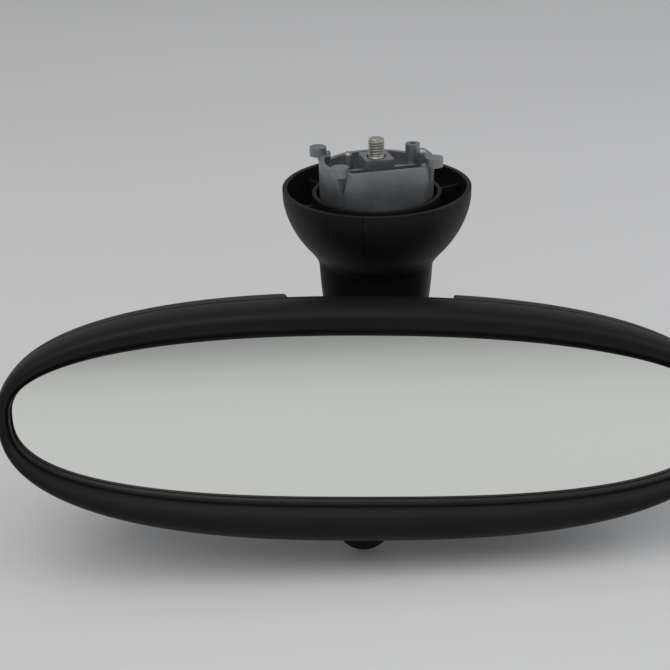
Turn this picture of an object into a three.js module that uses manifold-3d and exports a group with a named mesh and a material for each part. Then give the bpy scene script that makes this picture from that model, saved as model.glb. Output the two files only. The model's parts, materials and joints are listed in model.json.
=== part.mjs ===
// Interior rear-view mirror with a prismatic day and night glass.
//
// A die-cast foot is pulled up to the roof header by one threaded stud. A cast arm under the foot
// carries a ball, two clipped half covers hide the arm, and the oval head turns on the ball.
// Millimetres, +Z up. The origin is on the stud's axis, on the seat at the top of the foot's block.
// +X runs along the head's width and -Y points at the driver.
// The head has its own frame: origin on the ball, x along the glass, y backwards, z up the glass.

import * as THREE from 'three';
import { mergeVertices } from 'three/addons/utils/BufferGeometryUtils.js';
import Module from 'manifold-3d';

const wasm = await Module();
wasm.setup();

// ---- driving dimensions ----
const GAP = 0.3; // clearance between pieces that touch
const DEG = Math.PI / 180;

const GLASS_EDGE = { half: 120, top: 27.6, bottom: 30.4, nTop: 2.25, nBottom: 2.75 };
const HEAD_EDGE = { half: 124.6, top: 38.4, bottom: 46.3, nTop: 2.3, nBottom: 2.5 };
const AROUND = 44; // points round the head's outline
const SEAM_Y = 8.7; // back edge of the bezel, behind the glass's front face
const CAP_DEPTH = 31; // how far the rear cap bulges behind the seam
const CAP_POWER = 2.8; // squareness of the cap's rounded section
const CAP_WALL = 2.2;
const GLASS_THICK = 3.6; // at mid height
const PRISM_SLOPE = 0.0227; // the glass gets thicker upwards, by 1.3 degrees

const BALL_R = 8;
const BALL_BEHIND = 30; // ball centre behind the glass's front face
const BALL_ABOVE = 4; // ball centre above the middle of the glass
const BALL_REACH = 34; // ball centre in front of the stud's axis
const BALL_DROP = 72.3; // ball centre below the seat
const HEAD_PITCH = -12 * DEG; // the head leans back
const HEAD_ROLL = 3.1 * DEG;
const STALK_YAW = -13 * DEG; // the arm and its covers face slightly to the left
const FOOT_YAW = 10 * DEG; // the foot faces slightly to the right
const SHANK_RISE = 10 * DEG; // the ball's shank rises backwards

const RIM_Z = -11; // the bell's rim, below the seat
const BELL_R = 34.1;
const BELL_DEPTH = 33.3; // depth at which the bell's curve would reach the axis
const BELL_POWER = 1.75;
const BELL_LIP = 2.6; // the straight stretch under the rim
const COVER_WALL = 1.8;
const COVER_END = 0.74; // share of the arm's path that the covers hide
const COLLAR_R = 23.4;
const COLLAR_Z = -13;

const FOOT_R = 20.7;
const FOOT_FLAT = 16; // the flat front face, in front of the stud's axis
const FOOT_WALL = 1.9;
const FOOT_TOP = -1;
const FOOT_BASE = -17;
const FOOT_FLOOR = 2.5;
const BLOCK = { x: 10.4, y: 11.6 };
const STUD_R = 3; // M6
const STUD_TOP = 6.7;

const HINGE = { y: 12.6, z: 24, r: 1.5, x: 34 }; // day and night hinge, from the glass's centre
const LEVER = { y: 19, z: -27, r: 1.5 }; // pivot of the day and night lever
const TAB = { z: 46.8, r: 9.8 }; // the lever's half-round tab: its centre's drop and its radius

// ---- finishes ----
const finish = (color, roughness, metalness) =>
  new THREE.MeshStandardMaterial({ color, roughness, metalness });
const BLACK = finish(0x1b1b1d, 0.45, 0);
const DARK = finish(0x26262a, 0.6, 0);
const ZINC = finish(0x9a9da0, 0.42, 0.9);
const STEEL = finish(0x8d8f92, 0.3, 1);
const YELLOW_ZINC = finish(0xb5aa88, 0.35, 0.9);
const MIRROR = finish(0xdfe6dc, 0.03, 1);
const NYLON = finish(0xd9d5c8, 0.5, 0);
const FOAM = finish(0x3c3c40, 0.9, 0);
const RUBBER = finish(0x161616, 0.8, 0);

// ---- solids ----
function solidOf(geometry) {
  const bare = geometry.index ? geometry.toNonIndexed() : geometry.clone();
  bare.deleteAttribute('normal');
  bare.deleteAttribute('uv');
  const merged = mergeVertices(bare, 1e-4);
  const vertProperties = new Float32Array(merged.attributes.position.array);
  const triVerts = new Uint32Array(merged.index.array);
  return new wasm.Manifold(new wasm.Mesh({ numProp: 3, vertProperties, triVerts }));
}

function geometryOf(solid) {
  const mesh = solid.getMesh();
  const geometry = new THREE.BufferGeometry();
  geometry.setAttribute('position', new THREE.BufferAttribute(mesh.vertProperties, 3));
  geometry.setIndex(new THREE.BufferAttribute(mesh.triVerts, 1));
  geometry.computeVertexNormals();
  return geometry;
}

// A closed surface through rings of points that all have the same count. The two ends are closed
// by fans, or joined to each other when the rings go round a loop.
function loft(rings, loop = false) {
  const count = rings[0].length;
  const points = rings.flat();
  const faces = [];
  const last = loop ? rings.length : rings.length - 1;
  for (let j = 0; j < last; j++) {
    const next = ((j + 1) % rings.length) * count;
    for (let i = 0; i < count; i++) {
      const a = j * count + i;
      const b = j * count + (i + 1) % count;
      const c = next + i;
      const d = next + (i + 1) % count;
      faces.push(a, b, d, a, d, c);
    }
  }
  if (!loop) {
    const start = points.length;
    points.push(middleOf(rings[0]), middleOf(rings[rings.length - 1]));
    const end = (rings.length - 1) * count;
    for (let i = 0; i < count; i++) {
      faces.push(start, (i + 1) % count, i);
      faces.push(start + 1, end + i, end + (i + 1) % count);
    }
  }
  const geometry = new THREE.BufferGeometry();
  const flat = points.flatMap((p) => [p.x, p.y, p.z]);
  geometry.setAttribute('position', new THREE.Float32BufferAttribute(flat, 3));
  geometry.setIndex(volumeOf(points, faces) < 0 ? faces.toReversed() : faces);
  return solidOf(geometry);
}

function middleOf(ring) {
  const middle = new THREE.Vector3();
  for (const p of ring) middle.addScaledVector(p, 1 / ring.length);
  return middle;
}

function volumeOf(points, faces) {
  let six = 0;
  for (let i = 0; i < faces.length; i += 3) {
    const cross = new THREE.Vector3().crossVectors(points[faces[i + 1]], points[faces[i + 2]]);
    six += points[faces[i]].dot(cross);
  }
  return six / 6;
}

function moved(geometry, x, y, z) {
  return geometry.translate(x, y, z);
}

// A block between two corners.
function block(x0, x1, y0, y1, z0, z1) {
  const box = new THREE.BoxGeometry(x1 - x0, y1 - y0, z1 - z0);
  return solidOf(moved(box, (x0 + x1) / 2, (y0 + y1) / 2, (z0 + z1) / 2));
}

// Round bars along each axis, from one coordinate to the other.
function barZ(r, z0, z1, x = 0, y = 0, sides = 14, rTop = r) {
  const bar = new THREE.CylinderGeometry(rTop, r, z1 - z0, sides).rotateX(Math.PI / 2);
  return solidOf(moved(bar, x, y, (z0 + z1) / 2));
}

function barY(r, y0, y1, x = 0, z = 0, sides = 14, rEnd = r) {
  const bar = new THREE.CylinderGeometry(rEnd, r, y1 - y0, sides);
  return solidOf(moved(bar, x, (y0 + y1) / 2, z));
}

function barX(r, x0, x1, y = 0, z = 0, sides = 12) {
  const bar = new THREE.CylinderGeometry(r, r, x1 - x0, sides).rotateZ(Math.PI / 2);
  return solidOf(moved(bar, (x0 + x1) / 2, y, z));
}

// A profile of [radius, height] pairs turned round +Z. It starts and ends on the axis.
function turned(profile, sides = 28) {
  const points = profile.map(([r, h]) => new THREE.Vector2(r, h));
  return solidOf(new THREE.LatheGeometry(points, sides).rotateX(Math.PI / 2));
}

// A flat outline of [y, z] pairs drawn out along X, the same on both sides of the middle.
function prismX(outline, half) {
  const shape = new THREE.Shape(outline.map(([y, z]) => new THREE.Vector2(y, z)));
  const bar = new THREE.ExtrudeGeometry(shape, { depth: 2 * half, bevelEnabled: false });
  bar.translate(0, 0, -half);
  const turn = new THREE.Matrix4().set(0, 0, 1, 0, 1, 0, 0, 0, 0, 1, 0, 0, 0, 0, 0, 1);
  return solidOf(bar.applyMatrix4(turn));
}

// ---- the head's outlines ----
// A point of a rounded oval: the upper and lower halves have their own height and squareness.
function ovalPoint(edge, angle) {
  const c = Math.cos(angle);
  const s = Math.sin(angle);
  const n = s >= 0 ? edge.nTop : edge.nBottom;
  const height = s >= 0 ? edge.top : edge.bottom;
  const x = edge.half * Math.sign(c) * Math.abs(c) ** (2 / n);
  const z = height * Math.sign(s) * Math.abs(s) ** (2 / n);
  return [x, z];
}

// One ring between the glass's visible edge (across 0) and the head's outer edge (across 1).
// depth is how far it lies behind the glass's front face, and may depend on the height z.
function headRing(across, depth, scale = 1, count = AROUND) {
  const ring = [];
  for (let i = 0; i < count; i++) {
    const angle = (i / count) * 2 * Math.PI;
    const [xi, zi] = ovalPoint(GLASS_EDGE, angle);
    const [xo, zo] = ovalPoint(HEAD_EDGE, angle);
    const x = (xi + (xo - xi) * across) * scale;
    const z = (zi + (zo - zi) * across) * scale;
    const y = typeof depth === 'function' ? depth(z) : depth;
    ring.push(new THREE.Vector3(x, y, z));
  }
  return ring;
}

// ---- the head's pieces, with the origin in the middle of the glass's front face ----
function frontBezel() {
  // [across, depth] round the section: lip, groove, broad rounded band, side wall, then the inside.
  const section = [
    [0, -0.4], [0.01, -2.4], [0.07, -3.1], [0.13, -2.6], [0.2, -2.9], [0.36, -4.7], [0.56, -5.4],
    [0.75, -4.6], [0.9, -2.2], [0.98, 1.2], [1, 4.6], [1, SEAM_Y], [0.78, SEAM_Y], [0.78, 2.5],
    [0.66, -1.2], [0.42, -1.8], [0.24, -0.4],
  ];
  return loft(section.map(([across, depth]) => headRing(across, depth)), true);
}

function prismGlass() {
  const back = (z) => GLASS_THICK + PRISM_SLOPE * z;
  return loft([headRing(0.11, 0), headRing(0.11, back)]);
}

function backingSheet() {
  const front = (z) => GLASS_THICK + PRISM_SLOPE * z + GAP;
  const back = (z) => front(z) + 0.5;
  return loft([headRing(0.08, front, 1, 32), headRing(0.08, back, 1, 32)]);
}

const SCREW_POSTS = [[72, 17], [-72, 17], [72, -19], [-72, -19]];

function foamPad() {
  const pad = loft([headRing(0, 5.6, 0.94, 32), headRing(0, 7, 0.94, 32)]);
  return SCREW_POSTS.reduce((solid, [x, z]) => solid.subtract(barY(4, 5, 8, x, z)), pad);
}

function carrierFrame() {
  const front = 7.4;
  const back = 9.2;
  let plate = loft([headRing(0.4, front, 1, 32), headRing(0.4, back, 1, 32)]);
  for (const side of [-1, 1]) {
    const inner = side * (HINGE.x + 3);
    const outer = side * (HINGE.x + 7);
    const lug = block(Math.min(inner, outer), Math.max(inner, outer),
      back - 0.5, HINGE.y + 3, HINGE.z - 3, HINGE.z + 3);
    plate = plate.add(lug);
    const cheek = block(Math.min(side * 9.5, side * 12.5), Math.max(side * 9.5, side * 12.5),
      back - 0.5, LEVER.y + 3, LEVER.z - 3, LEVER.z + 3);
    plate = plate.add(cheek);
  }
  plate = plate.subtract(barX(HINGE.r + GAP, -60, 60, HINGE.y, HINGE.z));
  plate = plate.subtract(barX(LEVER.r + GAP, -20, 20, LEVER.y, LEVER.z));
  return SCREW_POSTS.reduce((solid, [x, z]) => solid.subtract(barY(1.9, 5, 12, x, z)), plate);
}

// The rear cap's outside: rings that shrink as they go back along a rounded quarter section. With
// an inset it is the inside, which starts a little in front of the seam.
function capDome(inset) {
  const steps = 7;
  const deep = CAP_DEPTH - GAP - inset;
  const rings = inset > 0 ? [shrunk(headRing(1, SEAM_Y + GAP - 1), inset)] : [];
  for (let j = 0; j < steps; j++) {
    const turn = (j / steps) * (Math.PI / 2);
    const scale = Math.cos(turn) ** (2 / CAP_POWER);
    const depth = SEAM_Y + GAP + deep * Math.sin(turn) ** (2 / CAP_POWER);
    rings.push(shrunk(headRing(1, depth, scale), inset));
  }
  rings.push(headRing(1, SEAM_Y + GAP + deep, 0.02));
  return loft(rings);
}

// A ring moved inwards by a fixed distance in x and z.
function shrunk(ring, inset) {
  return ring.map((p) => {
    const length = Math.hypot(p.x, p.z);
    const keep = Math.max(0.02, 1 - (inset * outwardStretch(p)) / Math.max(length, 1e-6));
    return new THREE.Vector3(p.x * keep, p.y, p.z * keep);
  });
}

// How much further a slanting line from the centre runs to cover one millimetre across the edge.
function outwardStretch(p) {
  const nx = p.x / HEAD_EDGE.half ** 2;
  const nz = p.z / HEAD_EDGE.bottom ** 2;
  const cosine = (p.x * nx + p.z * nz) / (Math.hypot(p.x, p.z) * Math.hypot(nx, nz) + 1e-9);
  return 1 / Math.max(cosine, 0.25);
}

const POCKET_HALF = 28.5; // half width of the recess for the arm
const POCKET = [[10.4, 60], [10.4, 37], [22, 19], [22, -14], [70, -24], [70, 60]];
const POCKET_SKIN = [[9, 60], [9, 35.2], [20, 18.4], [20, -16], [70, -26.2], [70, 60]];

function rearCap() {
  const outside = capDome(0);
  const hull = outside.subtract(capDome(CAP_WALL));
  const pocketWall = prismX(POCKET_SKIN, POCKET_HALF + 2).intersect(outside);
  let cap = hull.add(pocketWall);
  for (const [x, z] of SCREW_POSTS) {
    cap = cap.add(barY(3.4, 9.6, 45, x, z).intersect(outside));
  }
  cap = cap.subtract(prismX(POCKET, POCKET_HALF));
  cap = cap.subtract(barY(17.5, 12, 30, 0, BALL_ABOVE, 24));
  for (const [x, z] of SCREW_POSTS) cap = cap.subtract(barY(1.9, 5, 19, x, z));
  return cap.subtract(block(-12, 12, 8.8, 33, -60, -30));
}

// ---- the socket and its bracket, with the origin in the middle of the glass's front face ----
const SOCKET_R = 11.2;
const SOCKET_OUT = 14.5;
const CLAMP_SCREW_R = 12.9;

function pivotBracket() {
  let plate = block(-31, 31, 11.2, 13.2, -18, 21);
  for (const side of [-1, 1]) {
    const x0 = Math.min(side * 30, side * (HINGE.x + 2.6));
    const x1 = Math.max(side * 30, side * (HINGE.x + 2.6));
    plate = plate.add(barX(2.9, x0, x1, HINGE.y, HINGE.z, 24));
    const web0 = Math.min(side * 26, side * 31);
    plate = plate.add(block(web0, web0 + 5, 11.2, 13.2, 15, HINGE.z));
    plate = plate.add(barX(2.9, Math.min(side * 26, side * 30.5), Math.max(side * 26, side * 30.5),
      HINGE.y, HINGE.z, 24));
  }
  plate = plate.subtract(barX(HINGE.r + GAP, -60, 60, HINGE.y, HINGE.z));
  for (const turn of [90, 210, 330]) {
    const x = CLAMP_SCREW_R * Math.cos(turn * DEG);
    const z = BALL_ABOVE + CLAMP_SCREW_R * Math.sin(turn * DEG);
    plate = plate.subtract(barY(1.7, 10, 15, x, z));
  }
  return plate;
}

function screwHoles(solid, r, y0, y1) {
  let cut = solid;
  for (const turn of [90, 210, 330]) {
    const x = CLAMP_SCREW_R * Math.cos(turn * DEG);
    const z = BALL_ABOVE + CLAMP_SCREW_R * Math.sin(turn * DEG);
    cut = cut.subtract(barY(r, y0, y1, x, z, 10));
  }
  return cut;
}

function ballHollow(r) {
  const sphere = new THREE.SphereGeometry(r, 14, 8);
  return solidOf(moved(sphere, 0, BALL_BEHIND, BALL_ABOVE));
}

function socketBody() {
  const body = barY(SOCKET_OUT, 13.2 + GAP, BALL_BEHIND - GAP, 0, BALL_ABOVE, 24);
  return screwHoles(body.subtract(ballHollow(SOCKET_R)), 1.7, 12, 32);
}

function clampRing() {
  const ring = barY(SOCKET_OUT, BALL_BEHIND, BALL_BEHIND + 5.2, 0, BALL_ABOVE, 24);
  const mouth = barY(10.8, BALL_BEHIND + 3, BALL_BEHIND + 5.4, 0, BALL_ABOVE, 24, 9.6);
  return screwHoles(ring.subtract(ballHollow(SOCKET_R)).subtract(mouth), 1.7, 28, 38);
}

function clampScrew(turn) {
  const x = CLAMP_SCREW_R * Math.cos(turn * DEG);
  const z = BALL_ABOVE + CLAMP_SCREW_R * Math.sin(turn * DEG);
  const back = BALL_BEHIND + 5.2 + GAP;
  const shank = barY(1.3, 10.9, back + 0.5, x, z, 10);
  return shank.add(barY(2.4, back, back + 1.6, x, z, 10));
}

function toggleSpring() {
  // A bowed steel strip on the bracket's lower edge that snaps the lever past its middle.
  const strip = prismX([[13.5, -11.2], [14, -11.2], [14.6, -13], [15.4, -17], [15.6, -20.6],
    [15.1, -20.6], [14.9, -17], [14.1, -13]], 5);
  return strip;
}

function hingePin(side) {
  const x0 = Math.min(side * 27, side * (HINGE.x + 8));
  return barX(HINGE.r, x0, x0 + HINGE.x - 19, HINGE.y, HINGE.z);
}

function leverPin() {
  return barX(LEVER.r, -13.5, 13.5, LEVER.y, LEVER.z);
}

function capScrew([x, z]) {
  const head = barY(3, 5.7, 7.1, x, z, 12);
  return head.add(barY(1.5, 7, 17, x, z, 10));
}

function bumper(side) {
  return barY(3, 9.2 + GAP, 10.8, side * 22, -13, 20);
}

// The lever: a hub on its pin, a cam towards the bracket, a blade that leaves through the cap's
// slot, and a half-round thumb tab under the head.
function flipLever() {
  let lever = barX(4, -9, 9, LEVER.y, LEVER.z, 28);
  lever = lever.add(prismX([[LEVER.y - 2.5, LEVER.z], [LEVER.y + 1, LEVER.z + 8.5],
    [LEVER.y - 1, LEVER.z + 8.8], [LEVER.y - 3.6, LEVER.z + 1]], 4));
  lever = lever.add(block(-6, 6, LEVER.y - 1.4, LEVER.y + 1.4, -TAB.z, LEVER.z));
  const tab = barY(TAB.r, LEVER.y - 1.6, LEVER.y + 1.6, 0, -TAB.z, 32);
  lever = lever.add(tab.intersect(block(-TAB.r, TAB.r, 10, 30, -TAB.z - TAB.r, 1.2 - TAB.z)));
  return lever.subtract(barX(LEVER.r + GAP, -15, 15, LEVER.y, LEVER.z));
}

// ---- the two shells round the ball, with the origin in the ball's centre and +Z up the shank ----
// opening is the angle from the shank, in degrees, at which the shell's mouth starts.
function ballShell(inner, outer, opening) {
  const steps = 8;
  const sweep = Math.PI - opening * DEG;
  const arc = (r) => {
    const points = [[0, -r]];
    for (let i = 1; i <= steps; i++) {
      const polar = Math.PI - (sweep * i) / steps;
      points.push([r * Math.sin(polar), r * Math.cos(polar)]);
    }
    return points;
  };
  return turned([...arc(outer), ...arc(inner).reverse()], 20);
}

// ---- the arm and its covers, with the origin on the stud's axis at the seat ----
const alongRise = (y, z, reach) => ({
  y: y + reach * Math.cos(SHANK_RISE),
  z: z + reach * Math.sin(SHANK_RISE),
});
const ARM_END = alongRise(-BALL_REACH, -BALL_DROP, 16);
const ARM_BEND = alongRise(ARM_END.y, ARM_END.z, 15);
const NECK_BACK = -3; // the neck's middle, in front of the stud's axis
const ARM_PATH = new THREE.CubicBezierCurve3(
  new THREE.Vector3(0, NECK_BACK, -24),
  new THREE.Vector3(0, NECK_BACK, -56),
  new THREE.Vector3(0, ARM_BEND.y, ARM_BEND.z),
  new THREE.Vector3(0, ARM_END.y, ARM_END.z),
);

// One rounded-oblong ring across the arm's path. n is its squareness.
function armRing(t, halfX, halfDeep, n = 3, count = 18) {
  const centre = ARM_PATH.getPoint(t);
  const along = ARM_PATH.getTangent(t);
  const front = new THREE.Vector3(0, along.z, -along.y);
  const ring = [];
  for (let i = 0; i < count; i++) {
    const angle = (i / count) * 2 * Math.PI;
    const c = Math.cos(angle);
    const s = Math.sin(angle);
    const x = halfX * Math.sign(c) * Math.abs(c) ** (2 / n);
    const deep = halfDeep * Math.sign(s) * Math.abs(s) ** (2 / n);
    ring.push(centre.clone().add(new THREE.Vector3(x, 0, 0)).addScaledVector(front, deep));
  }
  return ring;
}

// The cover's neck: half width 21 mm under the bell, 19 mm at the bend and 13 mm at its end.
function neck(inset, start, end) {
  const rings = [];
  const steps = 6;
  for (let j = 0; j <= steps; j++) {
    const t = start + ((end - start) * j) / steps;
    const halfX = 21.2 - 3.2 * t - 7 * t ** 3 - inset;
    const halfDeep = 14.2 - 1.5 * t - 4.5 * t ** 3 - inset;
    rings.push(armRing(t, halfX, halfDeep, 3.2, 24));
  }
  return loft(rings);
}

// Radius of the bell at a depth under its rim.
function bellRadius(depth) {
  const below = Math.max(0, depth - BELL_LIP) / BELL_DEPTH;
  return BELL_R * Math.max(0, 1 - below ** BELL_POWER) ** (1 / BELL_POWER);
}

function bell(inset, top, bottom) {
  const steps = 6;
  const profile = [[0, top]];
  for (let i = 0; i <= steps; i++) {
    const z = top + ((bottom - top) * i) / steps;
    profile.push([bellRadius(RIM_Z - z) - inset, z]);
  }
  profile.push([0, bottom]);
  return turned(profile.reverse(), 36);
}

function wholeCover() {
  const outside = bell(0, RIM_Z, RIM_Z - 27.5).add(neck(0, 0.05, COVER_END));
  const hollow = bell(COVER_WALL, RIM_Z + 1, RIM_Z - 25.5).add(neck(COVER_WALL, 0.02, COVER_END + 0.04));
  const shell = outside.subtract(hollow);
  const outer = barZ(COLLAR_R, RIM_Z - 25, COLLAR_Z, 0, 0, 32);
  let trim = outer;
  for (const turn of [28, 62, 118, 152, 208, 332]) {
    const rib = new THREE.BoxGeometry(12, 1.4, 20);
    rib.translate(COLLAR_R + 5, 0, RIM_Z - 4.5 - 10);
    trim = trim.add(solidOf(rib.rotateZ(turn * DEG)));
  }
  trim = trim.intersect(bell(COVER_WALL / 2, RIM_Z + 1, RIM_Z - 27));
  trim = trim.subtract(barZ(COLLAR_R - 1.6, RIM_Z - 30, 5, 0, 0, 32));
  return shell.add(trim);
}

function halfCover(side) {
  const slit = 0.12;
  const keep = side < 0 ? block(-60, -slit, -60, 60, -90, 10) : block(slit, 60, -60, 60, -90, 10);
  return wholeCover().intersect(keep);
}

function stalkArm() {
  const flange = barZ(20, -21, FOOT_BASE - GAP, 0, 0, 20);
  const post = barZ(14, -30, -20, 0, -2, 24);
  const rings = [];
  for (const [t, halfX, halfDeep, n] of [[0, 13, 9.5, 2.6], [0.2, 13, 9, 2.6], [0.4, 12, 8.5, 2.5],
    [0.55, 10.5, 8, 2.4], [0.7, 9, 7.6, 2.2], [0.82, 7.8, 7.2, 2], [0.92, 7.2, 7, 2], [1, 6.8, 6.8, 2]]) {
    rings.push(armRing(t, halfX, halfDeep, n));
  }
  const shankHole = alongShank(barZ(4 + GAP, 7, 27, 0, 0, 24));
  let arm = flange.add(post).add(loft(rings)).subtract(shankHole);
  arm = arm.subtract(barZ(5.8, -25, 0, 0, 0, 30));
  for (const [x, y] of FOOT_SCREWS) {
    const hole = geometryOf(barZ(1.8, -32, -10, x, y, 12)).rotateZ(FOOT_YAW - STALK_YAW);
    arm = arm.subtract(solidOf(hole));
  }
  return arm;
}

// A solid along +Z from the ball's centre, laid along the ball's shank.
function alongShank(solid) {
  const turn = new THREE.Matrix4().makeRotationX(-(Math.PI / 2 - SHANK_RISE));
  turn.setPosition(0, -BALL_REACH, -BALL_DROP);
  return solidOf(geometryOf(solid).applyMatrix4(turn));
}

function ballStud() {
  const profile = [[0, -BALL_R]];
  const neckAngle = Math.asin(4 / BALL_R);
  for (let i = 1; i <= 14; i++) {
    const polar = Math.PI - ((Math.PI - neckAngle) * i) / 14;
    profile.push([BALL_R * Math.sin(polar), BALL_R * Math.cos(polar)]);
  }
  profile.push([4, 26], [0, 26]);
  return turned(profile, 20);
}

// ---- the foot and its fastenings, with the origin on the stud's axis at the seat ----
const EARS = [149, 220, 323]; // angles of the three lugs round the foot
const EAR = { away: 22, r: 3.1, top: 1.8, thick: 3.2 };
// The two locating pins: place, radius and height of the tip.
const PINS = {
  left: { at: [-9.6, 3.4], r: 1.6, top: 1.6 },
  right: { at: [16, -3.9], r: 1.8, top: 2.6 },
};
const PIN_SEAT = -8; // top of the low boss that holds each pin
const PIN_FLOOR = -14;
const BOSS = [14.2, 2.4];
const BACK_WALL_DROP = 3; // the wall is lower behind the block
const FOOT_SCREWS = [[-8, 12], [8, 12]];

function footBlank(r, flat, z0, z1) {
  const round = barZ(r, z0, z1, 0, 0, 32);
  return round.intersect(block(-40, 40, -flat, 40, z0, z1));
}

function mountingFoot() {
  let foot = footBlank(FOOT_R, FOOT_FLAT, FOOT_BASE, FOOT_TOP);
  const hollow = footBlank(FOOT_R - FOOT_WALL, FOOT_FLAT - FOOT_WALL, FOOT_BASE + FOOT_FLOOR, 5);
  foot = foot.subtract(hollow);
  foot = foot.subtract(block(-14, 40, 7, 40, FOOT_TOP - BACK_WALL_DROP, 5));
  const half = { x: BLOCK.x / 2, y: BLOCK.y / 2 };
  foot = foot.add(block(-half.x, half.x, -half.y, half.y, FOOT_BASE + 1, 0));
  for (const side of [-1, 1]) {
    const x0 = Math.min(side * 4, side * 19.5);
    const web = prismX([[-1, FOOT_BASE + 1], [1, FOOT_BASE + 1], [1, -4.5], [-1, -4.5]], 7.75);
    const centred = new THREE.Matrix4().makeTranslation(x0 + 7.75, 0, 0);
    foot = foot.add(solidOf(geometryOf(web).applyMatrix4(centred)));
  }
  for (const turn of EARS) {
    const x = EAR.away * Math.cos(turn * DEG);
    const y = EAR.away * Math.sin(turn * DEG);
    foot = foot.add(barZ(EAR.r, EAR.top - EAR.thick, EAR.top, x, y, 20));
    foot = foot.add(barZ(0.5, -10, EAR.top - EAR.thick + 0.2, x * 0.9, y * 0.9, 16, 2.6));
  }
  foot = foot.add(barZ(3, FOOT_BASE + 1, 2.6, BOSS[0], BOSS[1], 24, 2.6));
  foot = foot.subtract(barZ(1.2, 1.4, 4, BOSS[0], BOSS[1], 16));
  foot = foot.subtract(barZ(STUD_R + 0.5, FOOT_BASE - 1, 1, 0, 0, 28));
  foot = foot.subtract(barZ(5.6, FOOT_BASE - 1, FOOT_BASE + 4, 0, 0, 28));
  for (const [x, y] of FOOT_SCREWS) {
    foot = foot.subtract(barZ(1.8, FOOT_BASE - 1, -4, x, y, 12));
  }
  for (const { at: [x, y], r } of Object.values(PINS)) {
    foot = foot.add(barZ(r + 1.25, FOOT_BASE + 1, PIN_SEAT, x, y, 16));
    foot = foot.subtract(barZ(r + GAP, PIN_FLOOR, 6, x, y, 16));
  }
  return foot;
}

function locatingPin({ at: [x, y], r, top }) {
  const dome = new THREE.SphereGeometry(r, 14, 8);
  const tip = solidOf(moved(dome, x, y, top - r));
  return barZ(r, PIN_FLOOR + GAP, top - r, x, y, 14).add(tip);
}

// The stud: a hexagon head under the block, a plain shank, and a metric thread as fine grooves.
function headerBolt() {
  const pitch = 1;
  const profile = [[0, -17], [5, -17], [5, -13.4], [2.9, -13.4], [2.9, 0.5]];
  for (let z = 0.5; z < STUD_TOP - 1.6; z += pitch) {
    profile.push([STUD_R - 0.08, z + 0.15]);
    profile.push([STUD_R - 0.08, z + 0.3]);
    profile.push([STUD_R - 0.62, z + 0.8]);
  }
  profile.push([STUD_R - 0.1, STUD_TOP - 1.1], [STUD_R - 0.5, STUD_TOP - 0.5]);
  profile.push([STUD_R - 1.3, STUD_TOP], [0, STUD_TOP]);
  const hexagon = barZ(5.3, -17, -13.4, 0, 0, 6);
  const body = turned(profile, 14);
  return body.subtract(barZ(8, -18, -13.4, 0, 0, 6)).add(hexagon);
}

function footScrew([x, y]) {
  const shank = barZ(1.5, FOOT_BASE - 4.6, -12, x, y, 10);
  const head = barZ(3, -14.2, -12, x, y, 12);
  return shank.add(head);
}

// ---- the assembly ----
const mirror = new THREE.Group();

function place(parent, name, solid, material) {
  const mesh = new THREE.Mesh(geometryOf(solid), material);
  mesh.name = name;
  parent.add(mesh);
  return mesh;
}

const foot = new THREE.Group();
foot.rotation.z = FOOT_YAW;
mirror.add(foot);
place(foot, 'mounting_foot', mountingFoot(), ZINC);
place(foot, 'header_bolt', headerBolt(), YELLOW_ZINC);
place(foot, 'locating_pin_left', locatingPin(PINS.left), ZINC);
place(foot, 'locating_pin_right', locatingPin(PINS.right), ZINC);

FOOT_SCREWS.forEach((spot, i) => place(foot, `foot_screw_${i + 1}`, footScrew(spot), STEEL));

const stalk = new THREE.Group();
stalk.rotation.z = STALK_YAW;
mirror.add(stalk);
place(stalk, 'stalk_arm', stalkArm(), ZINC);
place(stalk, 'ball_stud', alongShank(ballStud()), STEEL);
place(stalk, 'cover_left', halfCover(-1), BLACK);
place(stalk, 'cover_right', halfCover(1), BLACK);
place(stalk, 'ball_liner', alongShank(ballShell(BALL_R + GAP, 9.2, 58)), NYLON);
place(stalk, 'friction_shell', alongShank(ballShell(9.5, 10.4, 64)), STEEL);

const head = new THREE.Group();
head.position.set(BALL_REACH * Math.sin(STALK_YAW), -BALL_REACH * Math.cos(STALK_YAW), -BALL_DROP);
head.rotation.set(HEAD_PITCH, HEAD_ROLL, 0);
mirror.add(head);
const face = new THREE.Group();
face.position.set(0, -BALL_BEHIND, -BALL_ABOVE);
head.add(face);
place(face, 'front_bezel', frontBezel(), BLACK);
place(face, 'rear_cap', rearCap(), BLACK);
place(face, 'prism_glass', prismGlass(), MIRROR);
place(face, 'silver_backing', backingSheet(), MIRROR);
place(face, 'foam_pad', foamPad(), FOAM);
place(face, 'carrier_frame', carrierFrame(), DARK);
place(face, 'pivot_bracket', pivotBracket(), STEEL);
place(face, 'socket_body', socketBody(), DARK);
place(face, 'clamp_ring', clampRing(), DARK);
place(face, 'toggle_spring', toggleSpring(), STEEL);
place(face, 'flip_lever', flipLever(), BLACK);
place(face, 'lever_pin', leverPin(), STEEL);
place(face, 'hinge_pin_left', hingePin(-1), STEEL);
place(face, 'hinge_pin_right', hingePin(1), STEEL);
place(face, 'bumper_left', bumper(-1), RUBBER);
place(face, 'bumper_right', bumper(1), RUBBER);
[90, 210, 330].forEach((turn, i) => {
  place(face, `clamp_screw_${i + 1}`, clampScrew(turn), STEEL);
});
SCREW_POSTS.forEach((post, i) => {
  place(face, `cap_screw_${i + 1}`, capScrew(post), STEEL);
});

export default mirror;
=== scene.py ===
# %% [markdown]
# An interior rear-view mirror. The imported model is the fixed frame: it says where the ball, the
# hinges and every piece are. This script makes the surfaces that show, each as a function of two
# parameters worked out with numpy, and gives every piece a material made of nodes.

# %% Load the frame
import json

import bmesh
import bpy
import numpy as np
from mathutils import Matrix, Vector


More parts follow.
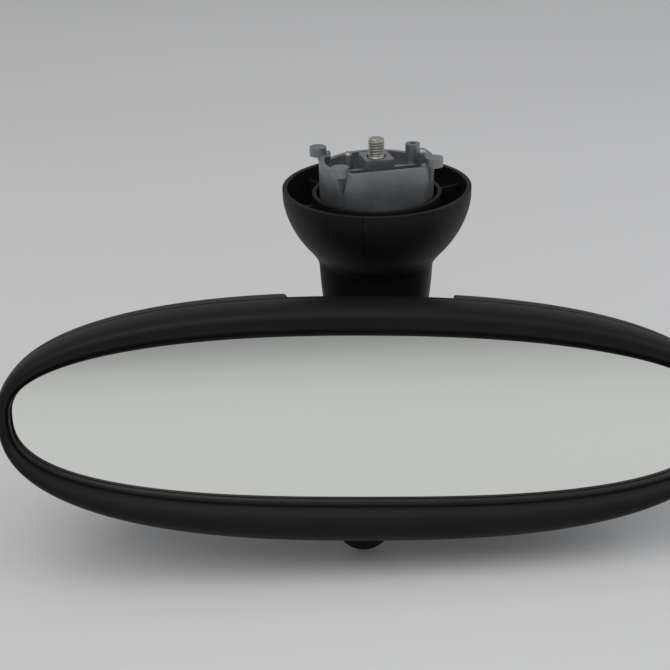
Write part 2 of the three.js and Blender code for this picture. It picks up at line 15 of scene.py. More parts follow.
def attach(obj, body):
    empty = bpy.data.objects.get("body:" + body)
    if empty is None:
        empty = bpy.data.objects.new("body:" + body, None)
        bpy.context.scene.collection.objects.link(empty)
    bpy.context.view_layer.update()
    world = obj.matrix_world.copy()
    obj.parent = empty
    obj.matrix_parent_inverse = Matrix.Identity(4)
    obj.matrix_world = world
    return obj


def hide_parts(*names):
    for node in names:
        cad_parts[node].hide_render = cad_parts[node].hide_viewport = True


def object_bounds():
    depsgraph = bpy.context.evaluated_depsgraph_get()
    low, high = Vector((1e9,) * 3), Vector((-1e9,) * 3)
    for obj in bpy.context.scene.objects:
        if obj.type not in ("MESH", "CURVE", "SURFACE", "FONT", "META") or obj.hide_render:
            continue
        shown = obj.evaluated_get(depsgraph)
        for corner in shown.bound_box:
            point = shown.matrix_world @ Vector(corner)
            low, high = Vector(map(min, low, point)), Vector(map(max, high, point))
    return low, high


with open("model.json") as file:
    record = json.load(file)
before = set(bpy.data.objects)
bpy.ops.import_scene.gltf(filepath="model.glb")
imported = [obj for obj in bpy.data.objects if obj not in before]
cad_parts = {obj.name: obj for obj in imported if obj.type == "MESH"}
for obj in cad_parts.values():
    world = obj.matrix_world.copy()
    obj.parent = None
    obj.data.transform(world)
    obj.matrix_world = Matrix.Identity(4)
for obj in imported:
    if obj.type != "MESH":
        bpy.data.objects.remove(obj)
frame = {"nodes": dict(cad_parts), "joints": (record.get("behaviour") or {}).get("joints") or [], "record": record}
cad_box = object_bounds()
NODES = frame["nodes"]
MM = 0.001
print("nodes in the frame:", len(NODES))

# %% [markdown]
# The head turns on a ball, so its pieces are easiest to draw in the head's own axes: x along the
# glass, y backwards and z up the glass, from the middle of the glass's front face. The joints of
# the frame hold these axes: the night hinge lies along x and the ball's roll axis along y.

# %% The head's own axes and the stalk's
joints = {joint["name"]: joint for joint in frame["joints"]}
BALL = np.array(joints["ball_yaw"]["pos_m"]) / MM
HEAD_X = np.array(joints["night_tilt"]["axis"])
HEAD_Y = np.array(joints["ball_roll"]["axis"])
HEAD_X = HEAD_X - HEAD_Y * (HEAD_X @ HEAD_Y)
HEAD_X, HEAD_Y = HEAD_X / np.linalg.norm(HEAD_X), HEAD_Y / np.linalg.norm(HEAD_Y)
HEAD_Z = np.cross(HEAD_X, HEAD_Y)
BALL_BEHIND, BALL_ABOVE = 30.0, 4.0
GLASS = BALL - BALL_BEHIND * HEAD_Y - BALL_ABOVE * HEAD_Z
STALK_TURN = np.arctan2(-BALL[0], -BALL[1])
print("glass centre, mm:", np.round(GLASS, 2), "stalk turned by", round(np.degrees(STALK_TURN), 1))


def in_head(x, y, z):
    """Points given in the head's axes, moved to the frame: glass centre + x, y and z along its axes."""
    x, y, z = np.broadcast_arrays(x, y, z)
    return GLASS + x[..., None] * HEAD_X + y[..., None] * HEAD_Y + z[..., None] * HEAD_Z


def in_stalk(x, y, z):
    """Points given with -y towards the arm's front, turned about the stud's axis to the stalk's yaw."""
    x, y, z = np.broadcast_arrays(x, y, z)
    c, s = np.cos(STALK_TURN), np.sin(STALK_TURN)
    return np.stack([x * c + y * s, y * c - x * s, z], axis=-1)


# %% [markdown]
# Every new surface is a grid of points. Quads join neighbours, and the grid can close on itself
# in one or both directions. The points go into the mesh as whole arrays.

# %% A mesh from a grid of points
def new_piece(name, points, faces, smooth_angle=40):
    """A mesh object from an array of points in mm and an array of quads or triangles."""
    mesh = bpy.data.meshes.new(name)
    mesh.from_pydata((points * MM).tolist(), [], [tuple(dict.fromkeys(f)) for f in faces.tolist()])
    mesh.validate()
    piece = bpy.data.objects.new(name, mesh)
    bpy.context.scene.collection.objects.link(piece)
    tidy_mesh(piece, smooth_angle)
    return piece


def tidy_mesh(piece, smooth_angle, merge=1e-6):
    """Merges doubles, turns every face outwards and smooths the edges below the angle."""
    work = bmesh.new()
    work.from_mesh(piece.data)
    bmesh.ops.remove_doubles(work, verts=work.verts, dist=merge)
    bmesh.ops.recalc_face_normals(work, faces=work.faces)
    for face in work.faces:
        face.smooth = True
    for edge in work.edges:
        sharp = len(edge.link_faces) != 2 or edge.calc_face_angle(0) > np.radians(smooth_angle)
        edge.smooth = not sharp
    work.to_mesh(piece.data)
    work.free()


def grid_faces(rows, cols, loop_rows=False, loop_cols=False):
    """Quads of a grid stored row by row: corners (r, c), (r, c+1), (r+1, c+1), (r+1, c)."""
    r = np.arange(rows if loop_rows else rows - 1)
    c = np.arange(cols if loop_cols else cols - 1)
    r, c = np.meshgrid(r, c, indexing="ij")
    r2, c2 = (r + 1) % rows, (c + 1) % cols
    return np.stack([r * cols + c, r * cols + c2, r2 * cols + c2, r2 * cols + c], -1).reshape(-1, 4)


def surface(name, grid, loop_rows=False, loop_cols=False, smooth_angle=40):
    """A piece from a grid of points of shape (rows, columns, 3)."""
    rows, cols = grid.shape[:2]
    faces = grid_faces(rows, cols, loop_rows, loop_cols)
    return new_piece(name, grid.reshape(-1, 3), faces, smooth_angle)


def finish_with(piece, kind, **settings):
    """Adds a modifier and applies it at once, so that the piece is a plain mesh."""
    modifier = piece.modifiers.new(kind.lower(), kind)
    for key, value in settings.items():
        setattr(modifier, key, value)
    graph = bpy.context.evaluated_depsgraph_get()
    done = bpy.data.meshes.new_from_object(piece.evaluated_get(graph))
    piece.modifiers.clear()
    piece.data = done
    return piece


# %% [markdown]
# Shader maths reads like ordinary maths when a socket knows the operators. This small class wraps
# an output socket, and each operation on it adds one Math node.

# %% Sockets that can be added and multiplied
class Sock:
    """An output socket with arithmetic. node() makes any other kind of node."""

    def __init__(self, tree, out):
        self.tree, self.out = tree, out

    def node(self, kind, out=0, settings=None, **inputs):
        """Makes a node, sets its settings first, then fills its sockets with values or links."""
        made = self.tree.nodes.new(kind)
        for key, value in (settings or {}).items():
            setattr(made, key, value)
        for key, value in inputs.items():
            spot = int(key[1:]) if key[0] == "_" else key.replace("_", " ")
            if isinstance(value, Sock):
                self.tree.links.new(value.out, made.inputs[spot])
            else:
                made.inputs[spot].default_value = value
        return Sock(self.tree, made.outputs[out])

    def maths(self, operation, a, b=0.0):
        return self.node("ShaderNodeMath", 0, {"operation": operation}, _0=a, _1=b)

    def __add__(self, other):
        return self.maths("ADD", self, other)

    def __mul__(self, other):
        return self.maths("MULTIPLY", self, other)

    __radd__, __rmul__ = __add__, __mul__


def start_material(name, metallic=0.0, **constants):
    """A new material: returns it, its Principled shader, and its Object coordinates as a Sock."""
    made = bpy.data.materials.new(name)
    made.use_nodes = True
    shader = made.node_tree.nodes["Principled BSDF"]
    shader.inputs["Metallic"].default_value = metallic
    for key, value in constants.items():
        shader.inputs[key.replace("_", " ")].default_value = value
    place = made.node_tree.nodes.new("ShaderNodeTexCoord")
    return made, shader, Sock(made.node_tree, place.outputs["Object"])


def noise(at, scale, detail=3.0, rough=0.5):
    """Smooth noise from 0 to 1, with the given number of waves to the metre."""
    return at.node("ShaderNodeTexNoise", 0, None, Vector=at, Scale=scale, Detail=detail, Roughness=rough)


def blend_colours(at, factor, low, high):
    """A colour between two, by a factor."""
    return at.node("ShaderNodeMix", 2, {"data_type": "RGBA"}, _0=factor, _6=(*low, 1), _7=(*high, 1))


def fit(material, shader, colour=None, roughness=None, height=None, strength=0.2, distance=MM):
    """Links what varies over the surface to the shader, the height through a Bump node."""
    links = material.node_tree.links
    if colour is not None:
        links.new(colour.out, shader.inputs["Base Color"])
    if roughness is not None:
        links.new(roughness.out, shader.inputs["Roughness"])
    if height is not None:
        bump = height.node("ShaderNodeBump", 0, None, Height=height, Strength=strength, Distance=distance)
        links.new(bump.out, shader.inputs["Normal"])
    return material


# %% [markdown]
# The housing is black plastic from a mould with a fine spark-eroded grain. The grain breaks up
# the highlight, slow noise changes the gloss a little, and a few paler specks stand for dust.

# %% Black moulded plastic
def grained_plastic(name, low, high, rough_low, rough_span, grain=2600.0, strength=0.16):
    made, shader, at = start_material(name, IOR=1.49)
    shader.inputs["Specular IOR Level"].default_value = 0.16
    slow = noise(at, 38.0, 4.0)
    fine = noise(at, grain, 2.0, 0.6)
    dust = at.node("ShaderNodeMapRange", 0, None, Value=noise(at, 900.0, 1.0), _1=0.70, _2=0.82)
    tone = slow * 0.7 + fine * 0.3 + dust * 0.5
    roughness = slow * rough_span + fine * 0.06 + rough_low
    return fit(made, shader, blend_colours(at, tone, low, high), roughness, fine, strength, 0.05 * MM)


BLACK = grained_plastic("black_abs", (0.0035, 0.0035, 0.0042), (0.010, 0.0097, 0.0103), 0.42, 0.12)
NYLON_BLACK = grained_plastic("dark_nylon", (0.010, 0.010, 0.011), (0.026, 0.025, 0.025), 0.52, 0.13)
NYLON_WHITE = grained_plastic("white_nylon", (0.62, 0.60, 0.54), (0.74, 0.72, 0.66), 0.40, 0.10)
FOAM = grained_plastic("foam", (0.03, 0.03, 0.033), (0.09, 0.09, 0.095), 0.85, 0.1, 1500.0, 0.8)
RUBBER = grained_plastic("black_rubber", (0.010, 0.010, 0.010), (0.025, 0.025, 0.025), 0.65, 0.15)
print("plastics made")

# %% [markdown]
# Die-cast zinc comes out of the mould satin grey. It shows cloudy flow marks, small pits and a
# slightly brighter skin where it rubbed against the tool.

# %% Metals
def metal(name, low, high, rough_low, rough_span, cloud=90.0, pits=0.12):
    made, shader, at = start_material(name, metallic=1.0)
    clouds = noise(at, cloud, 5.0, 0.62)
    fine = noise(at, 1500.0, 3.0, 0.6)
    tone = clouds * 0.75 + fine * 0.25
    roughness = clouds * rough_span + fine * 0.08 + rough_low
    return fit(made, shader, blend_colours(at, tone, low, high), roughness, fine, pits, 0.1 * MM)


ZINC = metal("die_cast_zinc", (0.20, 0.213, 0.235), (0.41, 0.425, 0.445), 0.34, 0.22, 120.0, 0.30)
STEEL = metal("steel", (0.40, 0.40, 0.41), (0.60, 0.60, 0.60), 0.22, 0.14)
GOLD_ZINC = metal("yellow_zinc", (0.40, 0.39, 0.35), (0.60, 0.59, 0.54), 0.26, 0.14, 300.0)
print("metals made")

# %% [markdown]
# The glass is silvered on its back, so what shows is a mirror with the faint green of the glass
# over it. Very slow noise in the roughness stands for wiping marks.

# %% Mirror glass
def mirror_glass():
    made, shader, at = start_material("mirror_glass", metallic=1.0)
    haze = noise(at, 14.0, 3.0)
    tint = blend_colours(at, haze, (0.86, 0.885, 0.825), (0.89, 0.91, 0.85))
    return fit(made, shader, tint, haze * 0.012 + 0.012)


MIRROR = mirror_glass()
FINISHES = {"black_abs": BLACK, "dark_nylon": NYLON_BLACK, "white_nylon": NYLON_WHITE, "foam": FOAM,
            "black_rubber": RUBBER, "die_cast_zinc": ZINC, "steel": STEEL, "yellow_zinc": GOLD_ZINC,
            "mirror_glass": MIRROR}


def dress(piece, slot, body, *stands_for):
    """Gives a new piece its material, body and the CAD nodes that it stands for."""
    piece.data.materials.clear()
    piece.data.materials.append(FINISHES[slot])
    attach(piece, body)
    if stands_for:
        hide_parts(*stands_for)
    print(piece.name, "faces", len(piece.data.polygons))
    return piece


# %% [markdown]
# Both edges of the bezel are ovals whose upper and lower halves differ: the top is more arched
# and the bottom flatter. A point between the two edges is a straight mix of them, so the band is
# broad above and below and narrow at the ends.

# %% The head's ovals
GLASS_EDGE = (120.0, 27.6, 30.4, 2.25, 2.75)
HEAD_EDGE = (124.6, 38.4, 46.3, 2.3, 2.5)
SEAM, CAP_DEPTH, CAP_POWER = 8.7, 31.0, 2.8


def oval(edge, angle):
    """x = half |cos|^(2/n), z = height |sin|^(2/n), each with its own sign; n changes at z = 0."""
    half, top, bottom, n_top, n_bottom = edge
    c, s = np.cos(angle), np.sin(angle)
    power = 2 / np.where(s >= 0, n_top, n_bottom)
    height = np.where(s >= 0, top, bottom)
    return half * np.sign(c) * np.abs(c) ** power, height * np.sign(s) * np.abs(s) ** power


def around(count):
    """Angles round an oval, closer together at the ends, where it bends most."""
    t = np.linspace(0, 2 * np.pi, count, endpoint=False)
    return t - 0.16 * np.sin(2 * t)


def between(across, angle):
    """Points between the glass's edge (across 0) and the head's edge (across 1)."""
    xi, zi = oval(GLASS_EDGE, angle)
    xo, zo = oval(HEAD_EDGE, angle)
    return xi + (xo - xi) * across, zi + (zo - zi) * across


def smooth_path(points, per=8):
    """A Catmull-Rom curve through the points: a cubic on each stretch, from its four neighbours."""
    p = np.asarray(points, float)
    p = np.vstack([2 * p[0] - p[1], p, 2 * p[-1] - p[-2]])
    t = np.linspace(0, 1, per, endpoint=False)[None, :, None]
    a, b, c, d = (p[i:len(p) - 3 + i][:, None] for i in range(4))
    curve = b + 0.5 * t * ((c - a) + t * ((2 * a - 5 * b + 4 * c - d) + t * (3 * (b - c) + d - a)))
    return np.vstack([curve.reshape(-1, 2), p[-2]])


# %% [markdown]
# The bezel is one section carried round the ovals: a thin lip over the glass, a fine groove, the
# broad rounded band, and a side wall back to the seam. The inside follows at a wall's distance.

# %% Front bezel
def front_bezel():
    shown = [(0, -0.4), (0.004, -2.2), (0.03, -3.0), (0.085, -3.1), (0.12, -2.5), (0.15, -2.45),
             (0.2, -3.1), (0.33, -4.5), (0.5, -5.3), (0.64, -5.3), (0.78, -4.4), (0.9, -2.3),
             (0.975, 0.9), (1, 4.4), (1, 7.4)]
    edge = [(0.996, 8.1), (0.975, 8.6), (0.95, 8.7), (0.78, 8.7), (0.78, 2.5), (0.66, -1.2),
            (0.42, -1.8), (0.24, -0.5)]
    section = np.vstack([smooth_path(shown, 7), edge])
    x, z = between(section[:, :1], around(420)[None, :])
    grid = in_head(x, np.broadcast_to(section[:, 1:], x.shape), z)
    return surface("bezel_shell", grid, True, True)


dress(front_bezel(), "black_abs", "head", "front_bezel")

# %% [markdown]
# The glass is a shallow wedge: its back slopes, which is what makes the dim night reflection.
# Its front edge has a small ground bevel.

# %% Prism glass
GLASS_THICK, PRISM_SLOPE = 3.6, 0.0227
GLASS_UNDER = 0.11  # how far the glass reaches under the bezel, as a share of the band


def prism_glass():
    """Rings from the middle of the front, over the bevelled edge, to the middle of the back."""
    def back(z):
        return GLASS_THICK + PRISM_SLOPE * z

    rings = [(0.001, 0.0), (0.5, 0.0), (0.992, 0.0), (1.0, 0.35), (1.0, None), (0.5, None), (0.001, None)]
    angle = around(300)
    x, z = between(GLASS_UNDER, angle)
    grid = np.stack([in_head(x * k, back(z * k) if y is None else y + 0 * x, z * k) for k, y in rings])
    return surface("glass_wedge", grid, False, True, 10)


dress(prism_glass(), "mirror_glass", "head", "prism_glass")


# %% [markdown]
# The rear cap is a deep dome: at a fraction k of the oval, its depth is a rounded quarter
# section. The arm needs room at the back, so a pocket is pressed into the dome. Where two
# surfaces meet, a smooth minimum rounds the edge as a mould does.

# %% Rear cap
POCKET_HALF, POCKET_LOW = 28.5, -14.0
SLOT_HALF, SOCKET_HOLE, CAP_WALL = 12, 17.5, 2.0


def soft_min(a, b, radius):
    """The smaller of two values, with the corner between them rounded over the radius."""
    mix = np.clip(0.5 + 0.5 * (b - a) / radius, 0, 1)
    return b + (a - b) * mix - radius * mix * (1 - mix)


def pocket_depth(x, z):
    """Floor of the pocket: shallow at the top, 22 mm behind the glass lower down, steep sides."""
    floor = np.interp(z, [POCKET_LOW, 19, 37, 60], [22.0, 22.0, 10.5, 10.4])
    sides = np.maximum(0, np.abs(x) - POCKET_HALF) * 9
    below = np.maximum(0, POCKET_LOW - z) * 9
    return floor + sides + below


def edge_height(x, upper):
    """Height of the head's oval over x: half |1 - |x/half|^n|^(1/n)."""
    half, top, bottom, n_top, n_bottom = HEAD_EDGE
    n, height = (n_top, top) if upper else (n_bottom, bottom)
    return height * np.clip(1 - np.abs(x / half) ** n, 0, 1) ** (1 / n)


def dome_depth(x, z):
    """Depth of the dome behind the glass: seam + D (1 - k^p)^(1/p), k the fraction of the oval."""
    half, top, bottom, n_top, n_bottom = HEAD_EDGE
    n = np.where(z >= 0, n_top, n_bottom)
    height = np.where(z >= 0, top, bottom)
    k = (np.abs(x / half) ** n + np.abs(z / height) ** n) ** (1 / n)
    return SEAM + 0.3 + (CAP_DEPTH - 0.3) * np.clip(1 - k ** CAP_POWER, 0, 1) ** (1 / CAP_POWER)


def rear_cap():
    """Slices across x; in each slice the height runs from the upper to the lower edge."""
    edge = POCKET_HALF + 3
    far = np.sin(np.linspace(0, 1, 90) * np.pi / 2) * (HEAD_EDGE[0] - edge) + edge
    near = np.concatenate([np.linspace(0, edge - 5, 22), np.linspace(edge - 4.7, edge - 0.2, 22)])
    x = np.concatenate([-far[::-1], -near[:0:-1], near, far])[:, None]
    step = np.linspace(0, 1, 140)[None, :]
    swing = np.cos(step * np.pi)
    z = np.where(swing >= 0, swing * edge_height(x, True), swing * edge_height(x, False))
    x = x + 0 * z
    y = soft_min(dome_depth(x, z), pocket_depth(x, z), 1.6)
    y = np.maximum(y, SEAM + 0.3)
    return surface("cap_shell", in_head(x, y, z), smooth_angle=60)


def cutter(name, x0, x1, y0, y1, z0, z1):
    """A box in the head's axes, used only to cut with."""
    x, y, z = np.meshgrid([x0, x1], [y0, y1], [z0, z1], indexing="ij")
    corners = in_head(x.ravel() * 1.0, y.ravel() * 1.0, z.ravel() * 1.0)
    quads = np.array([[0, 1, 3, 2], [4, 6, 7, 5], [0, 4, 5, 1], [2, 3, 7, 6], [0, 2, 6, 4], [1, 5, 7, 3]])
    return new_piece(name, corners, quads)


def tube_y(name, radius, y0, y1, z, sides=96):
    """A closed round bar along the head's y axis, used only to cut with."""
    t = np.linspace(0, 2 * np.pi, sides, endpoint=False)
    rings = [(0.001, y0), (radius, y0), (radius, y1), (0.001, y1)]
    grid = np.stack([in_head(r * np.cos(t), y, z + r * np.sin(t)) for r, y in rings])
    return surface(name, grid, False, True)


cap = rear_cap()
finish_with(cap, "SOLIDIFY", thickness=CAP_WALL * MM, offset=-1)
for tool in (cutter("slot_tool", -SLOT_HALF, SLOT_HALF, 8.0, 33, -60, -30),
             tube_y("hole_tool", SOCKET_HOLE, 12, 30, BALL_ABOVE)):
    finish_with(cap, "BOOLEAN", object=tool, operation="DIFFERENCE", solver="EXACT")
    bpy.data.objects.remove(tool)
tidy_mesh(cap, 50)
dress(cap, "black_abs", "head", "rear_cap")

# %% [markdown]
# The two half covers make a bell over the foot and a neck round the arm. At each level the
# outline is the larger of the bell's circle and the neck's rounded oblong, with a smooth maximum
# that leaves the soft crease between them. Both are radii seen from the middle of the neck.

# %% Cover halves
RIM, BELL_R, BELL_LIP, BELL_DEPTH, BELL_POWER = -11.0, 34.1, 2.6, 33.3, 1.75
NECK_BACK, NECK_DEPTH, COVER_END = -3.0, 22, 0.74
RISE = np.radians(10)
SLIT, COVER_WALL = 0.06, 1.7
REACH, DROP = np.hypot(BALL[0], BALL[1]), -BALL[2]
ARM_END = np.array([-REACH + 16 * np.cos(RISE), -DROP + 16 * np.sin(RISE)])
BEND = ARM_END + 15 * np.array([np.cos(RISE), np.sin(RISE)])
ARM_PATH = np.array([[NECK_BACK, -24.0], [NECK_BACK, -56.0], BEND, ARM_END])


def arm_path(t):
    """Point and direction of the arm's curve in the y, z plane: a cubic through four controls."""
    t = t[:, None]
    a, b, c, d = ARM_PATH
    at = (1 - t) ** 3 * a + 3 * (1 - t) ** 2 * t * b + 3 * (1 - t) * t ** 2 * c + t ** 3 * d
    along = 3 * ((1 - t) ** 2 * (b - a) + 2 * (1 - t) * t * (c - b) + t ** 2 * (d - c))
    return at, along / np.linalg.norm(along, axis=1, keepdims=True)


def bell_radius(depth):
    below = np.maximum(0, depth - BELL_LIP) / BELL_DEPTH
    return BELL_R * np.maximum(0, 1 - below ** BELL_POWER) ** (1 / BELL_POWER)


def oblong_radius(angle, half_x, half_deep, n):
    """Radius of a rounded oblong: (|cos/a|^n + |sin/b|^n)^(-1/n)."""
    return (np.abs(np.cos(angle) / half_x) ** n + np.abs(np.sin(angle) / half_deep) ** n) ** (-1 / n)


def cover_grid(angle):
    """Rings from the bell's rim down the neck. Above the arm's curve they are level. Their middle
    moves from the stud's axis to the neck's over the depth NECK_DEPTH."""
    rows = 40
    level = np.linspace(RIM, ARM_PATH[0, 1], rows)
    t = np.linspace(0, COVER_END, 90)[1:]
    at, along = arm_path(t)
    at = np.vstack([np.stack([np.full(rows, NECK_BACK), level], 1), at])
    along = np.vstack([np.tile([0.0, -1.0], (rows, 1)), along])
    t = np.concatenate([np.zeros(rows), t])
    depth = RIM - at[:, 1]
    shift = np.clip(depth / NECK_DEPTH, 0, 1)
    shift = NECK_BACK * shift * shift * (3 - 2 * shift)
    at[:, 0] += np.where(depth < NECK_DEPTH, shift - NECK_BACK, 0)
    half_x, half_deep = 21.2 - 3.2 * t - 7 * t ** 3, 14.2 - 1.5 * t - 4.5 * t ** 3
    c, s = np.cos(angle)[None, :], np.sin(angle)[None, :]
    neck = oblong_radius(angle[None, :], half_x[:, None], half_deep[:, None], 3.2)
    bell = bell_radius(depth)[:, None]
    off = -np.where(depth < NECK_DEPTH, shift, NECK_BACK)[:, None]
    inside = np.maximum(bell ** 2 - off ** 2 + (off * s) ** 2, 0)
    circle = np.where(bell > 4, -off * s + np.sqrt(inside), 0)
    radius = -soft_min(-circle, -neck, 3.0)
    radius = np.where(depth[:, None] < 8, circle, radius)
    y = at[:, :1] + radius * s * along[:, 1:]
    z = at[:, 1:] - radius * s * along[:, :1]
    return radius * c, y, z


def half_angles(side, count):
    """Angles from the back seam round one side to the front seam."""
    middle = 0 if side > 0 else np.pi
    return np.linspace(middle - np.pi / 2, middle + np.pi / 2, count)


def cover_half(side):
    x, y, z = cover_grid(half_angles(side, 110))
    x = x + side * SLIT
    piece = surface(f"cover_shell_{'right' if side > 0 else 'left'}", in_stalk(x, y, z), smooth_angle=60)
    finish_with(piece, "SOLIDIFY", thickness=COVER_WALL * MM, offset=-1)
    finish_with(piece, "BEVEL", width=0.25 * MM, segments=2, limit_method="ANGLE", angle_limit=1.0)
    tidy_mesh(piece, 40)
    return piece


for side, name in ((-1, "left"), (1, "right")):
    dress(cover_half(side), "black_abs", "mount", f"cover_{name}")

# %% [markdown]
# Inside the bell a thin collar surrounds the foot, and flat ribs tie it to the bell's wall. Each
# half of the collar belongs to its cover half.

# %% Collar and ribs
COLLAR_R, COLLAR_TOP, COLLAR_WALL = 23.4, -13.0, 1.6
RIB_TURNS = (28, 62, 118, 152, 208, 332)  # degrees round the stalk


def collar_half(side):
    """A strip round half a circle, from the collar's top to just inside the bell's wall."""
    angle = half_angles(side, 80)[None, :]
    level = np.linspace(COLLAR_TOP, -33.0, 12)[:, None]
    x = COLLAR_R * np.cos(angle) + side * SLIT
    grid = in_stalk(x + 0 * level, COLLAR_R * np.sin(angle) + 0 * level, level + 0 * angle)
    piece = surface(f"collar_{'right' if side > 0 else 'left'}", grid)
    finish_with(piece, "SOLIDIFY", thickness=COLLAR_WALL * MM, offset=-1)
    finish_with(piece, "BEVEL", width=0.25 * MM, segments=2, limit_method="ANGLE", angle_limit=1.0)
    tidy_mesh(piece, 40)
    return piece


def rib(name, turn):
    """A thin upright plate: along the radius, its top slopes from the bell down to the collar."""
    reach = np.linspace(COLLAR_R - 0.2, BELL_R - 1.2, 14)
    top = np.interp(reach, [COLLAR_R, BELL_R - 2], [COLLAR_TOP - 2.6, COLLAR_TOP - 1.6])
    depth = np.linspace(0, 30, 400)
    foot_z = RIM - np.interp(-reach - 1.0, -bell_radius(depth), depth)
    share = np.linspace(0, 1, 5)[:, None]
    level = top[None, :] * (1 - share) + np.minimum(foot_z, top - 1)[None, :] * share
    x, y = reach * np.cos(turn) + 0 * level, reach * np.sin(turn) + 0 * level
    piece = surface(name, in_stalk(x, y, level))
    finish_with(piece, "SOLIDIFY", thickness=1.3 * MM, offset=0)
    finish_with(piece, "BEVEL", width=0.3 * MM, segments=2, limit_method="ANGLE", angle_limit=1.0)
    tidy_mesh(piece, 40)
    return piece


for side, name in ((-1, "left"), (1, "right")):
    dress(collar_half(side), "black_abs", "mount")
for number, degrees in enumerate(RIB_TURNS, 1):
    dress(rib(f"bell_rib_{number}", np.radians(degrees)), "black_abs", "mount")

# %% [markdown]
# The stud's thread is a true helix: the radius falls and rises once for each pitch of height,
# and the fall turns with the angle, so the grooves climb.

# %% Header stud
STUD_R, PITCH, STUD_TOP = 3.0, 1.0, 6.7
FOOT_TURN = np.radians(10)


def header_stud():
    """Radius = stud - groove * ramp(height / pitch - turn), faded out at both ends."""
    turn = np.linspace(0, 2 * np.pi, 72, endpoint=False)[None, :]
    level = np.concatenate([[-13.3], np.linspace(-0.6, STUD_TOP, 170)])[:, None]
    phase = (level / PITCH - turn / (2 * np.pi)) % 1
    ramp = np.clip(1.25 - np.abs(phase - 0.5) * 3.1, 0, 1)
    fade = np.clip((level + 0.2) / 0.8, 0, 1)
    radius = STUD_R - 0.06 - 0.6 * ramp * fade
    tip = np.clip((STUD_TOP - level) / 1.3, 0, 1)
    radius = np.minimum(radius, STUD_R - 1.2 * (1 - np.sqrt(1 - (1 - tip) ** 2)))
    radius = np.where(level < -1, STUD_R - 0.12, radius)
    grid = np.stack([radius * np.cos(turn), radius * np.sin(turn), level + 0 * turn], -1)
    ends = [np.array([0.0, 0.0, z]) + 0 * grid[:1] for z in (level[0, 0], STUD_TOP)]
    grid = np.concatenate([ends[0], grid, ends[1]])
    return surface("stud_thread", grid, False, True, 45)


def stud_head():
    """A hexagon head: the radius of a hexagon, with its corners chamfered at both ends."""
    turn = np.linspace(0, 2 * np.pi, 72, endpoint=False)[None, :]
    wedge = (turn - FOOT_TURN + np.pi / 6) % (np.pi / 3) - np.pi / 6
    flat = 4.4 / np.cos(wedge)
    rows = [(0, -17.0), (4.3, -17.0), (9, -16.6), (9, -13.8), (4.3, -13.4), (0, -13.4)]
    grid = [np.stack([np.minimum(flat, r) * np.cos(turn), np.minimum(flat, r) * np.sin(turn),
                      z + 0 * turn], -1)[0] for r, z in rows]
    return surface("stud_head", np.stack(grid), False, True, 25)


dress(header_stud(), "yellow_zinc", "mount", "header_bolt")
dress(stud_head(), "yellow_zinc", "mount")

# %% [markdown]
# Castings and stampings have small radii on every edge. A merged copy of the CAD shape, with its
# flat areas joined and its edges bevelled, catches the light as a real one does.

# %% Softened copies of the CAD pieces
def softened(node, slot, body, width=0.25, segments=2, angle=32):
    """A copy of a CAD node with its doubles merged, flat faces joined and sharp edges rounded."""
    copy = bpy.data.objects.new(f"{node}_part", NODES[node].data.copy())
    bpy.context.scene.collection.objects.link(copy)
    work = bmesh.new()
    work.from_mesh(copy.data)
    bmesh.ops.remove_doubles(work, verts=work.verts, dist=2e-6)
    bmesh.ops.dissolve_limit(work, angle_limit=np.radians(1.5), verts=work.verts, edges=work.edges)
    work.to_mesh(copy.data)
    work.free()
    finish_with(copy, "BEVEL", width=width * MM, segments=segments, limit_method="ANGLE",
                angle_limit=np.radians(angle), use_clamp_overlap=True)
    tidy_mesh(copy, 30)
    finish_with(copy, "WEIGHTED_NORMAL", keep_sharp=True)
    return dress(copy, slot, body, node)


softened("mounting_foot", "die_cast_zinc", "mount", 0.3, 3)
softened("stalk_arm", "die_cast_zinc", "mount", 0.4, 3)
softened("flip_lever", "black_abs", "lever", 0.35, 3)
softened("socket_body", "dark_nylon", "bracket", 0.3)
softened("clamp_ring", "dark_nylon", "bracket", 0.3)
softened("pivot_bracket", "steel", "bracket", 0.2)
softened("carrier_frame", "dark_nylon", "head", 0.2)

# %% [markdown]
# The pieces that are small or mostly hidden keep their CAD shape and take a finish.

# %% Finishes for the CAD pieces that stay
slots = {row["node"]: row["material_slot"] for row in frame["record"]["subparts"]}
for name, node in NODES.items():
    node.data.materials.clear()
    node.data.materials.append(FINISHES[slots[name]])
print("finished", len(slots), "CAD nodes")

# %% [markdown]
# A smooth pin or ball would show facets, so the parts with round faces are shaded smooth. Their
# meshes are loose triangles, so merged copies take their place.

# %% Smooth copies of round pieces
for name, body in (("ball_stud", "mount"), ("locating_pin_left", "mount"), ("locating_pin_right", "mount"),
                   ("foot_screw_1", "mount"), ("foot_screw_2", "mount"), ("clamp_screw_1", "bracket"),
                   ("clamp_screw_2", "bracket"), ("clamp_screw_3", "bracket"),
                   ("friction_shell", "shell"), ("ball_liner", "liner")):
    softened(name, slots[name], body, 0.12, 2, 40)

# %% [markdown]
# The stage: one very large pale floor, so that its edge never shows in the mirror, with a room of
# about the same brightness round it, a broad soft light above and a weak one from the right.

# %% Stage
def flat_stage(name, corners, colour):
    mesh = bpy.data.meshes.new(name)
    mesh.from_pydata(corners, [], [(0, 1, 2, 3)])
    piece = bpy.data.objects.new(name, mesh)
    bpy.context.scene.collection.objects.link(piece)
    made, shader, at = start_material(name, Roughness=0.85)
    fit(made, shader, blend_colours(at, noise(at, 2.5), colour, tuple(c * 1.05 for c in colour)))
    mesh.materials.append(made)
    return piece


FLOOR_Z = cad_box[0][2] - 0.0005
WIDE = 40.0
flat_stage("floor", [(-WIDE, -WIDE, FLOOR_Z), (WIDE, -WIDE, FLOOR_Z), (WIDE, WIDE, FLOOR_Z),
                     (-WIDE, WIDE, FLOOR_Z)], (0.62, 0.625, 0.635))


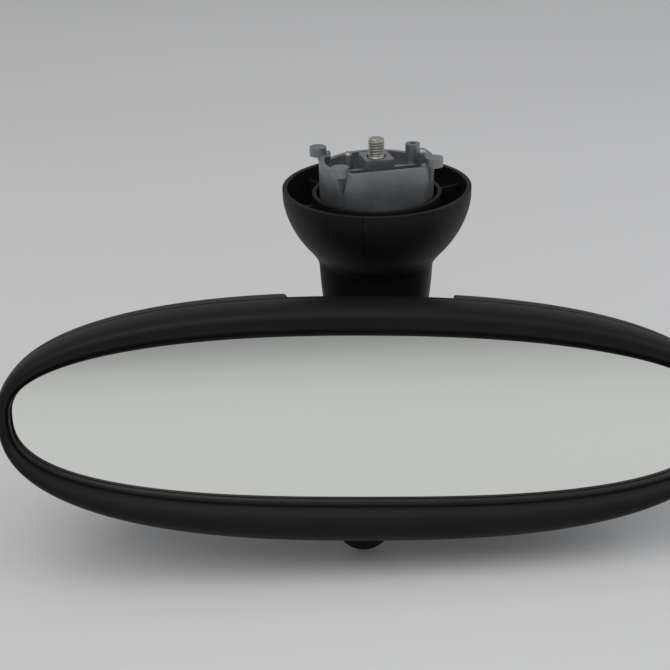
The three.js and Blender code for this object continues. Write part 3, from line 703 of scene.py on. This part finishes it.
def area_light(name, place, aim, size, power, colour):
    """A square soft light at a place in metres, turned to face its aim."""
    data = bpy.data.lights.new(name, "AREA")
    data.size, data.energy, data.color = size, power, colour
    lamp = bpy.data.objects.new(name, data)
    bpy.context.scene.collection.objects.link(lamp)
    lamp.location = place
    lamp.rotation_euler = (Vector(aim) - Vector(place)).to_track_quat("-Z", "Y").to_euler()
    return lamp


area_light("key", (-0.4, -0.7, 1.5), (0, 0, 0), 1.6, 17, (1.0, 0.975, 0.94))
area_light("side", (1.1, -0.3, 0.7), (0, 0, -0.05), 0.8, 4, (0.93, 0.96, 1.0))
world = bpy.data.worlds.new("room")
world.use_nodes = True
world.node_tree.nodes["Background"].inputs["Color"].default_value = (0.82, 0.83, 0.84, 1)
world.node_tree.nodes["Background"].inputs["Strength"].default_value = 0.48
bpy.context.scene.world = world
bpy.context.scene.view_settings.view_transform = "Standard"

# %% [markdown]
# The camera stands about 43 cm from the glass. Its place is set by two angles about the glass, and its
# aim by how far the glass lies from the middle of the view.

# %% Camera
DISTANCE, LEFT, ABOVE = 0.426, np.radians(4.3), np.radians(29.4)
ASIDE, BELOW, ROLL = np.tan(np.radians(1.6)), np.tan(np.radians(3.6)), np.radians(0.7)
away = np.array([-np.sin(LEFT) * np.cos(ABOVE), -np.cos(LEFT) * np.cos(ABOVE), np.sin(ABOVE)])
eye = GLASS * MM + DISTANCE * away
right = np.cross(-away, [0, 0, 1])
right /= np.linalg.norm(right)
up = np.cross(right, -away)
look = -away - ASIDE * right + BELOW * up
look /= np.linalg.norm(look)
right = np.cross(look, up)
right /= np.linalg.norm(right)
up = np.cross(right, look)
right, up = right * np.cos(ROLL) - up * np.sin(ROLL), up * np.cos(ROLL) + right * np.sin(ROLL)
camera_data = bpy.data.cameras.new("camera")
camera_data.lens, camera_data.sensor_width = 67.8, 36
camera = bpy.data.objects.new("camera", camera_data)
bpy.context.scene.collection.objects.link(camera)
turn = Matrix([right, up, -look]).transposed().to_4x4()
camera.matrix_world = Matrix.Translation(Vector(eye)) @ turn
bpy.context.scene.camera = camera
print("camera at", np.round(eye, 3))
